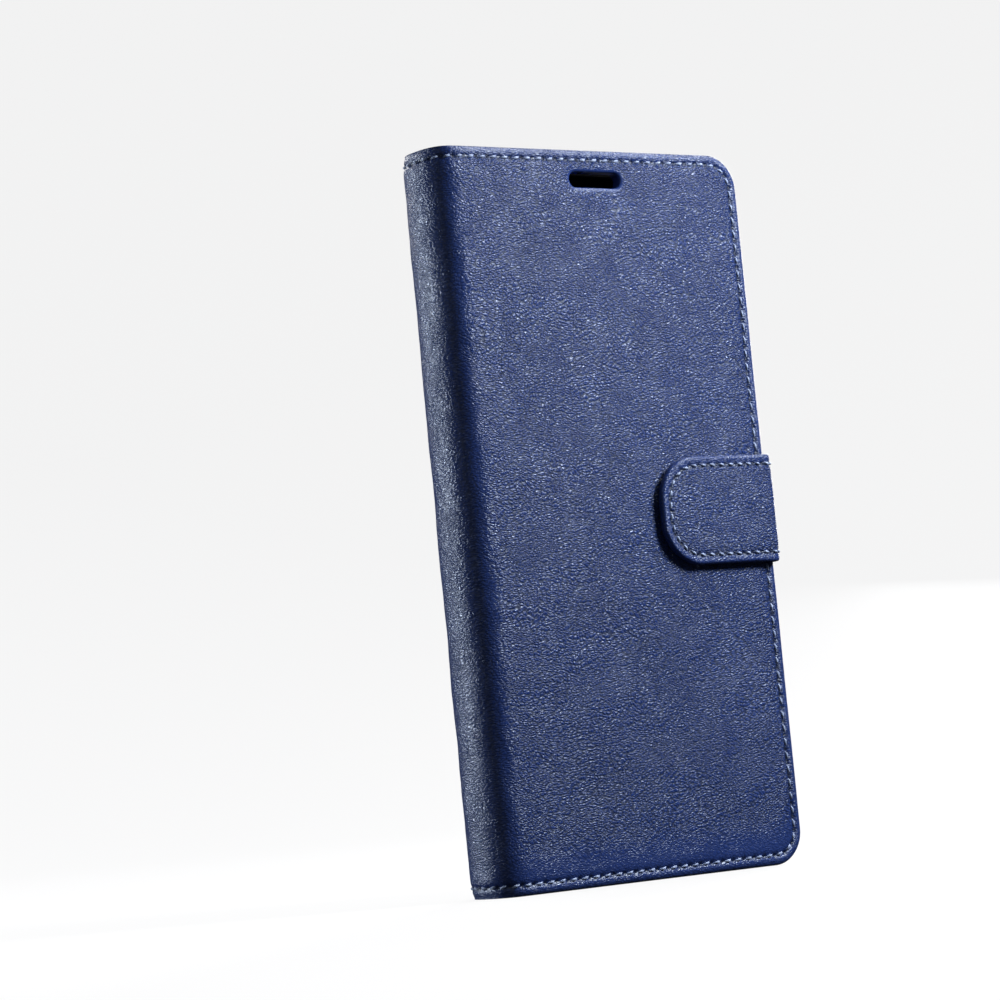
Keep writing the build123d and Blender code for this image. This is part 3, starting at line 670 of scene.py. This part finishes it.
def moulded(name, dark, light, roughness, speckle=0.012):
    """Soft moulded plastic with a fine spark-eroded skin."""
    n = Nodes(name)
    place = n.add("ShaderNodeTexCoord").outputs["Object"]
    fine = n.noise(place, 4200.0, 3.0, 0.6)
    broad = n.noise(place, 45.0, 3.0)
    base = n.mix(n.remap(broad, 0.2, 0.8), dark, light)
    shine = n.remap(fine, 0.2, 0.8, roughness - 0.03, roughness + 0.03)
    return n.finish(
        Base_Color=base, Roughness=shine, Normal=n.bump(fine, speckle * MM), Specular_IOR_Level=0.32
    )


def fibre_board():
    n = Nodes("fibre_board")
    place = n.add("ShaderNodeTexCoord").outputs["Object"]
    flecks = n.noise(n.vector("MULTIPLY", place, (1.0, 1.0, 3.0)), 900.0, 4.0, 0.65)
    base = n.mix(n.remap(flecks, 0.3, 0.7), (0.20, 0.17, 0.14), (0.36, 0.32, 0.27))
    return n.finish(Base_Color=base, Roughness=0.9, Normal=n.bump(flecks, 0.06 * MM))


def foam_sheet():
    n = Nodes("bond_foam")
    place = n.add("ShaderNodeTexCoord").outputs["Object"]
    bubbles = n.voronoi(place, 2600.0, "F1", "3D")
    base = n.mix(n.remap(bubbles, 0.1, 0.6), (0.035, 0.016, 0.013), (0.075, 0.034, 0.026))
    return n.finish(Base_Color=base, Roughness=0.85, Normal=n.bump(bubbles, 0.05 * MM))


def plate_metal(name, colour, roughness, stretch):
    """Rolled or plated sheet metal with fine lines."""
    n = Nodes(name)
    place = n.add("ShaderNodeTexCoord").outputs["Object"]
    lines = n.noise(n.vector("MULTIPLY", place, stretch), 1500.0, 3.0)
    shine = n.remap(lines, 0.3, 0.7, roughness - 0.06, roughness + 0.08)
    return n.finish(
        Base_Color=(*colour, 1.0), Metallic=1.0, Roughness=shine, Normal=n.bump(lines, 0.01 * MM)
    )


# ---------------------------------------------------------------- materials
# the first colour of each leather is the painted shade laid into the grain's valleys
outer_leather = leather(
    "outer_leather", (0.0035, 0.009, 0.042), (0.0105, 0.024, 0.108), (0.0130, 0.029, 0.124), 0.17, 0.28
)
inner_leather = leather(
    "inner_leather", (0.0035, 0.009, 0.040), (0.012, 0.026, 0.105), (0.015, 0.031, 0.120), 0.12, 0.42
)
thread = thread_material()
shell_plastic = moulded("shell_tpu", (0.011, 0.011, 0.012), (0.017, 0.017, 0.018), 0.56)
button_plastic = moulded("button_tpu", (0.010, 0.010, 0.011), (0.015, 0.015, 0.016), 0.48)
board = fibre_board()
foam = foam_sheet()
steel = plate_metal("plated_steel", (0.52, 0.52, 0.53), 0.38, (1.0, 1.0, 0.04))
nickel = plate_metal("nickel", (0.62, 0.60, 0.57), 0.25, (1.0, 1.0, 1.0))

cad_finish = {
    "tpu_shell": shell_plastic,
    "power_button": button_plastic,
    "volume_up_button": button_plastic,
    "volume_down_button": button_plastic,
    "back_board_fore": board,
    "back_board_spine": board,
    "front_board": board,
    "tongue_stiffener": board,
    "shell_bond_sheet": foam,
    "catch_plate": steel,
    "clasp_magnets": nickel,
}
for node, finish in cad_finish.items():
    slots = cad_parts[node].data.materials
    slots.clear()
    slots.append(finish)


# ---------------------------------------------------------------- how the leather lies
def opening(place, rim_radius, wall, spread):
    """A stadium opening whose edge rounds in and goes down as a wall."""
    angles = np.linspace(0, math.pi / 2, 7)[1:]
    tuck = 0.04              # the wall stands this far inside the opening
    section = [(rim_radius * (1 - math.sin(a)) - tuck, rim_radius * (1 - math.cos(a))) for a in angles]
    section += [(-tuck, rim_radius + 0.5 * (wall - rim_radius)), (-tuck, wall)]
    rings = [rim_radius + spread * k for k in (0.2, 0.45, 0.75, 1.1, 1.6)]
    return dict(place, round=rim_radius, section=section, rings=rings)


def near_holes(u, z, holes, reach=2.0, batch=4000):
    """Distance to the nearest needle hole, and reach where none is that near."""
    near = np.empty(len(u))
    for start in range(0, len(u), batch):
        part = slice(start, start + batch)
        gaps = np.hypot(u[part, None] - holes[None, :, 0], z[part, None] - holes[None, :, 1])
        near[part] = gaps.min(axis=1)
    return np.minimum(near, reach)


def seam_relief(outline, seam, holes, u, z, groove=0.22, pad=0.19, prick=0.13):
    """The stitched edge: a pulled-down seam line, deeper at the needle holes, and a soft roll inside."""
    inset = outline.inset(u, z)
    line = groove * bell(inset - seam["inset"], 0.50)
    roll = pad * np.exp(-np.maximum(inset - seam["inset"], 0) / 1.3)
    near = near_holes(u, z, holes)
    pricks = prick * bell(near, 0.34)
    pull = 0.05 * bell(near, 1.1) * smoothstep(0.4, 1.2, inset)
    return line + roll + pricks + pull


def unevenness(u, z, seed):
    return 0.05 * ripples(u, z, 16.0, seed) + 0.018 * ripples(u, z, 5.0, seed + 1)


def thickness_profile(panel_t, turn_t, start, end):
    return lambda u: panel_t + (turn_t - panel_t) * smoothstep(start, end, u)


back_cut = cut_at(back_course, MID_Y)
front_cut = cut_at(front_course, MID_Y)
hinge_u = FORE_X - HINGE_X
back_outline = Outline(0.0, CASE_H, PANEL_R, back_cut)
front_outline = Outline(0.0, CASE_H, PANEL_R, front_cut)
back_holes = needle_holes(back_outline, PANEL_SEAM)
front_holes = needle_holes(front_outline, PANEL_SEAM)
back_thickness = thickness_profile(BACK_T, SPINE_T, hinge_u - 1, hinge_u + 4)
front_thickness = thickness_profile(FRONT_T, SPINE_T, hinge_u - 1, hinge_u + 4)
window = opening(WINDOW, 1.15, BACK_T, 1.0)
slot = opening(SLOT, 0.55, FRONT_T, 0.9)


def spine_relief(u, z):
    """The spine's ends round over, and its folds carry fine lengthwise creases."""
    on_spine = smoothstep(hinge_u + 0.5, hinge_u + 5, u)
    end_gap = np.minimum(z, CASE_H - z)
    ends = 0.55 * on_spine * np.clip(1 - end_gap / 2.2, 0, 1) ** 2
    at_fold = bell(u - hinge_u - 2.0, 2.6)
    creases = 0.030 * at_fold * ripples(u * 2.2, z * 0.35, 3.2, 31)
    return ends + creases + 0.03 * on_spine * ripples(z, u, 24.0, 33)


def back_relief(u, z):
    total = seam_relief(back_outline, PANEL_SEAM, back_holes, u, z)
    total += unevenness(u, z, 1) + spine_relief(u, z) + 0.10
    distance = stadium_distance(WINDOW, u, z)
    total += 0.10 * np.exp(-np.maximum(distance, 0) / 1.1)
    wander = 0.25 * ripples(z, z * 0, 40.0, 5)
    line = bell(u - STAND_U - wander, 0.9) + 0.4 * bell(u - STAND_U - wander, 3.0)
    between_seams = smoothstep(2.0, 5.0, np.minimum(z, CASE_H - z))
    total += 0.24 * line * (0.35 + 0.65 * between_seams)
    at_ends = bell(np.minimum(z, CASE_H - z) - 1.0, 4.0) * bell(u - STAND_U, 4.5)
    total += 0.07 * at_ends * (1 + np.sin((u - STAND_U) * 2.6 + 0.8 * np.sin(z * 0.7)))
    return total


def front_relief(u, z):
    total = seam_relief(front_outline, PANEL_SEAM, front_holes, u, z)
    total += unevenness(u, z, 7) + spine_relief(u, z) + 0.10
    distance = stadium_distance(SLOT, u, z)
    return total + 0.28 * np.exp(-np.maximum(distance, 0) / 1.5)


def join_relief(relief, outline, holes):
    """Both halves of the cover are level where they meet at the spine's middle."""
    def level(u, z):
        shared = 0.10 + spine_relief(np.full_like(u, outline.cut), z)
        weight = smoothstep(outline.cut - 2.0, outline.cut - 0.1, u)
        seam = seam_relief(outline, PANEL_SEAM, holes, u, z)
        return relief(u, z) * (1 - weight) + (shared + seam) * weight
    return level


PANEL_RINGS = (1.5, 1.7, 1.9, 2.1, 2.3, 2.55, 2.85, 3.3, 3.8)
outer_edge = half_round(1.32, 12) + [(1.9, 1.0, 0.0), (3.0, 1.0, 0.0)]
# the stitches across the spine's middle belong to the back's thread
COVERS = {
    "back": dict(
        course=back_course, outline=back_outline, thickness=back_thickness,
        relief=join_relief(back_relief, back_outline, back_holes),
        hole=window, holes=back_holes, outer_holes=back_holes,
    ),
    "front": dict(
        course=front_course, outline=front_outline, thickness=front_thickness,
        relief=join_relief(front_relief, front_outline, front_holes),
        hole=slot, holes=front_holes, outer_holes=front_holes[1:-1],
    ),
}


# ---------------------------------------------------------------- cover: leather, lining, thread
def lining_relief(outline, needle):
    def relief(u, z):
        inset = outline.inset(u, z)
        line = 0.10 * bell(inset - PANEL_SEAM["inset"], 0.40)
        pricks = 0.16 * bell(near_holes(u, z, needle), 0.34)
        return 0.03 + line + pricks + 0.02 * (1 + ripples(u, z, 11.0, 21))
    return relief


def build_cover(side, leather_nodes, lining_nodes, thread_nodes, shift):
    cover = COVERS[side]
    course, outline, thickness = cover["course"], cover["outline"], cover["thickness"]
    relief, hole, holes = cover["relief"], cover["hole"], cover["holes"]
    skin = build_sheet(
        f"leather_{side}", course, outline, outer_edge, thickness, relief,
        outer_leather, holes=[hole], rings=PANEL_RINGS, step=1.0,
        fine_from=hinge_u - 2, texture_shift=shift, needles=holes,
    )
    inside = lining_relief(outline, holes)
    inner_hole = dict(hole, round=0.25, section=[(0.05, 0.08), (0.0, 0.35)], rings=[0.6, 1.1])
    lining = build_sheet(
        f"lining_{side}", course, outline, cut_edge(1.0, 0.25, 0.35), thickness, inside,
        inner_leather, holes=[inner_hole], rings=(1.5, 1.8, 2.1, 2.4, 2.8), step=1.2,
        fine_from=hinge_u - 2, inner=True, texture_shift=shift + 200, needles=holes,
    )
    runs = [
        stitch_run(course, cover["outer_holes"], thickness, relief),
        stitch_run(course, holes[1:-1], thickness, inside, inner=True, loop_height=INNER_LOOP),
    ]
    stitches = make_thread(f"thread_{side}", runs, thread)
    for piece, slot_name, nodes in (
        (skin, "grained_leather", leather_nodes),
        (lining, "lining_leather", lining_nodes),
        (stitches, "thread", thread_nodes),
    ):
        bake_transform(piece)
        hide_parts(*nodes)


# the skins bend only where no board lies between them: x, and depth below the outer face
build_cover(
    "back",
    ["back_leather", "spine_leather"], ["back_lining", "spine_lining"],
    ["back_stitching", "spine_stitching"], shift=0,
)
build_cover(
    "front",
    ["front_leather"], ["front_lining"], ["front_stitching"], shift=600,
)

# ---------------------------------------------------------------- strap
tongue_cut = cut_at(tongue_course, strap_centre[1])
side_cut = cut_at(side_course, strap_centre[1])
tongue_outline = Outline(STRAP_LOW_Z, STRAP_HIGH_Z, TIP_R, tongue_cut)
side_outline = Outline(STRAP_LOW_Z, STRAP_HIGH_Z, 0.8, side_cut)
tongue_holes = needle_holes(tongue_outline, STRAP_SEAM)
bend_u = STRAP_BEND_X - TIP_X
tongue_thickness = thickness_profile(TONGUE_T, STRAP_T, bend_u - 5.0, bend_u + 0.5)


def side_thickness(u):
    return STRAP_T + 0 * u


def side_needle_holes():
    """Two straight seams, spaced on from the tongue's."""
    low = STRAP_LOW_Z + STRAP_SEAM["inset"]
    high = STRAP_HIGH_Z - STRAP_SEAM["inset"]
    u = np.arange(side_cut - STRAP_SEAM["pitch"] / 2, 2.0, -STRAP_SEAM["pitch"])
    return [np.column_stack([u, np.full_like(u, z)]) for z in (low, high)]


side_seams = side_needle_holes()
side_holes = np.concatenate(side_seams)


def strap_relief(outline, holes, seed):
    def relief(u, z):
        total = seam_relief(outline, STRAP_SEAM, holes, u, z, groove=0.12, pad=0.10, prick=0.16)
        level = 0.06 + 0.03 * ripples(z, u * 0, 9.0, 40)
        weight = smoothstep(outline.cut - 2.0, outline.cut - 0.1, u)
        return total + level * weight + (1 - weight) * (0.06 + 0.03 * ripples(u, z, 8.0, seed))
    return relief


def strap_inner_relief(u, z):
    return 0.02 + 0.015 * (1 + ripples(u, z, 7.0, 52))


strap_edge = half_round(0.62) + [(1.2, 1.0, 0.0)]
STRAP_RINGS = (0.85, 1.1, 1.35, 1.6, 1.9, 2.2, 2.5, 2.9, 3.4)


def build_strap(
    name, course, outline, thickness, holes, thread_runs, nodes, thread_nodes, shift
):
    relief = strap_relief(outline, holes, 41 + shift)
    skin = build_sheet(
        f"leather_{name}", course, outline, strap_edge, thickness, relief, outer_leather,
        rings=STRAP_RINGS, step=0.55, texture_shift=300 + 50 * shift, needles=holes,
    )
    lining = build_sheet(
        f"lining_{name}", course, outline, cut_edge(0.55, 0.2, 0.2, 3), thickness, strap_inner_relief,
        inner_leather, rings=(1.1, 1.9), step=0.7, inner=True, texture_shift=450 + 50 * shift,
    )
    runs = [stitch_run(course, run, thickness, relief) for run in thread_runs]
    runs += [
        stitch_run(course, run[1:-1], thickness, strap_inner_relief, inner=True, loop_height=INNER_LOOP)
        for run in thread_runs
    ]
    stitches = make_thread(f"thread_{name}", runs, thread)
    for piece, slot_name, replaced in (
        (skin, "grained_leather", nodes[:1]),
        (lining, "lining_leather", nodes[1:]),
        (stitches, "thread", thread_nodes),
    ):
        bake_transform(piece)
        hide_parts(*replaced)


build_strap(
    "strap_tongue", tongue_course, tongue_outline, tongue_thickness, tongue_holes,
    [tongue_holes],
    ["tongue_leather", "tongue_lining"], ["tongue_stitching"], 0,
)
build_strap(
    "strap_side", side_course, side_outline, side_thickness, side_holes,
    side_seams,
    ["strap_side_leather", "strap_side_lining", "strap_anchor"], ["strap_side_stitching"], 1,
)


# ---------------------------------------------------------------- pockets inside the cover
def no_thickness(u):
    """A pocket's depths are all measured from its face."""
    return 0 * u


def build_pocket(node, name, seamed, shift):
    """A pocket front: leather lying on the one below, with a turned mouth and a creased line under it."""
    low, high = node_box(node)
    outline = Outline(low[2], high[2], 3.0, high[0] - low[0])
    # u runs from the fore-edge side of the pocket to its spine side
    course = Course([(high[0], high[1]), (low[0] - 1, high[1])], side=1)
    t = high[1] - low[1]
    top = high[2]

    def relief(u, z):
        total = 0.02 + 0.02 * (1 + ripples(u, z, 12.0, 60 + shift))
        total += 0.07 * bell(top - z - 1.6, 0.22)
        if seamed:
            total += 0.08 * bell(outline.inset(u, z) - POCKET_SEAM["inset"], 0.3) * (z < top - 3)
        return total

    angles = np.linspace(0, math.pi / 2, 5)
    section = [(0.22 * (1 - math.sin(a)), 0.0, (t - 0.01) * (1 - math.cos(a))) for a in angles]
    piece = build_sheet(
        name, course, outline, section, no_thickness, relief, inner_leather,
        rings=(0.6, 1.0, 1.25, 1.5, 1.9), step=0.9, texture_shift=700 + 90 * shift,
    )
    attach(piece, "front_cover")
    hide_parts(node)
    return course, outline, relief


POCKETS = ["cash_pocket", "card_pocket_upper", "card_pocket_middle", "card_pocket_lower"]
for shift, node in enumerate(POCKETS):
    pocket_course, pocket_outline, pocket_relief = build_pocket(
        node, f"{node}_leather", seamed=node == POCKETS[-1], shift=shift
    )

# the lowest pocket's seam: down one side, along the bottom and up the other
pocket_holes = needle_holes(pocket_outline, POCKET_SEAM, both_ends_on=False)
pocket_holes = pocket_holes[pocket_holes[:, 1] < pocket_outline.high - 2.0]
pocket_run = stitch_run(
    pocket_course, pocket_holes, no_thickness, pocket_relief, loop_height=INNER_LOOP, radius=POCKET_THREAD_R
)
pocket_stitches = make_thread("thread_pocket", [pocket_run], thread)
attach(pocket_stitches, "front_cover")
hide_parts("pocket_stitching")

# ---------------------------------------------------------------- floor, light, camera
def stage_material(name, colour, glow):
    """Paper that glows a little, so the floor and the backdrop come out alike."""
    n = Nodes(name)
    return n.finish(
        Base_Color=(*colour, 1.0), Roughness=0.9, Specular_IOR_Level=0.1,
        Emission_Color=(1.0, 1.0, 1.0, 1.0), Emission_Strength=glow,
    )


def build_bowl(radius=1.25, sweep=0.55, height=1.6, sides=96, steps=16):
    """The floor, curving up on all sides into a plain backdrop."""
    rings = [(0.0, 0.0), (0.3, 0.0)]
    for k in range(steps + 1):
        a = math.pi / 2 * k / steps
        rings.append((radius - sweep + sweep * math.sin(a), sweep * (1 - math.cos(a))))
    rings.append((radius, height))
    verts = [(0.0, 0.0, 0.0)]
    for r, z in rings[1:]:
        for i in range(sides):
            a = 2 * math.pi * i / sides
            verts.append((r * math.cos(a), r * math.sin(a), z))
    faces = [[0, 1 + i, 1 + (i + 1) % sides] for i in range(sides)]
    for k in range(len(rings) - 2):
        first = 1 + k * sides
        for i in range(sides):
            j = (i + 1) % sides
            faces.append([first + i, first + sides + i, first + sides + j, first + j])
    paper = stage_material("studio_paper", (0.045, 0.045, 0.0463), 0.86)
    bowl = make_object("studio_floor", np.array(verts) / MM, faces, paper)
    bowl.visible_glossy = False
    bowl.visible_diffuse = False


def area_light(name, place, aim, size, power, colour=(1.0, 1.0, 1.0)):
    lamp = bpy.data.lights.new(name, "AREA")
    lamp.shape = "RECTANGLE"
    lamp.size, lamp.size_y = size
    lamp.energy = power
    lamp.color = colour
    holder = bpy.data.objects.new(name, lamp)
    holder.location = place
    holder.rotation_euler = (Vector(aim) - Vector(place)).to_track_quat("-Z", "Y").to_euler()
    holder.visible_camera = False
    bpy.context.scene.collection.objects.link(holder)


build_bowl()
middle = (0.0, 0.0, CASE_H / 2 * MM)
area_light("key_box", (0.53, -0.59, 0.72), middle, (0.34, 0.34), 4.5)
area_light("sheen_box", (0.18, -0.24, 0.26), (0.0, 0.0, 0.12), (0.10, 0.10), 2.6)
area_light("spine_strip", (-0.62, 0.79, 0.17), middle, (0.08, 0.60), 15.0, (0.84, 0.91, 1.0))
area_light("left_fill", (-0.95, -0.36, 0.50), middle, (0.60, 0.60), 1.4)
area_light("rim_box", (0.60, 0.0, 0.96), middle, (0.40, 0.40), 9.0)
area_light("edge_box", (0.75, 0.55, 0.35), middle, (0.30, 0.50), 5.0)
area_light("back_box", (0.10, 0.80, 0.62), middle, (0.40, 0.40), 4.5)

world = bpy.data.worlds.new("studio")
world.use_nodes = True
world.node_tree.nodes["Background"].inputs["Color"].default_value = (0.80, 0.82, 0.86, 1.0)
world.node_tree.nodes["Background"].inputs["Strength"].default_value = 0.07
bpy.context.scene.world = world
bpy.context.scene.view_settings.view_transform = "Standard"

CAMERA_PLACE = (-0.40956, -0.52323, 0.02385)
CAMERA_YAW = math.radians(36.239)      # from +Y towards +X
CAMERA_PITCH = math.radians(4.628)
CAMERA_ROLL = math.radians(5.473)
CAMERA_LENS = 120.49


def build_camera():
    data = bpy.data.cameras.new("camera")
    data.sensor_width = 36.0
    data.lens = CAMERA_LENS
    data.clip_start = 0.01
    camera = bpy.data.objects.new("camera", data)
    bpy.context.scene.collection.objects.link(camera)
    ahead = Vector(
        (
            math.sin(CAMERA_YAW) * math.cos(CAMERA_PITCH),
            math.cos(CAMERA_YAW) * math.cos(CAMERA_PITCH),
            math.sin(CAMERA_PITCH),
        )
    )
    level = Vector((math.cos(CAMERA_YAW), -math.sin(CAMERA_YAW), 0.0))
    above = level.cross(ahead)
    right = level * math.cos(CAMERA_ROLL) - above * math.sin(CAMERA_ROLL)
    up = level * math.sin(CAMERA_ROLL) + above * math.cos(CAMERA_ROLL)
    turn = Matrix((right, up, -ahead)).transposed().to_4x4()
    camera.matrix_world = Matrix.Translation(CAMERA_PLACE) @ turn
    bpy.context.scene.camera = camera


build_camera()

bpy.context.view_layer.update()
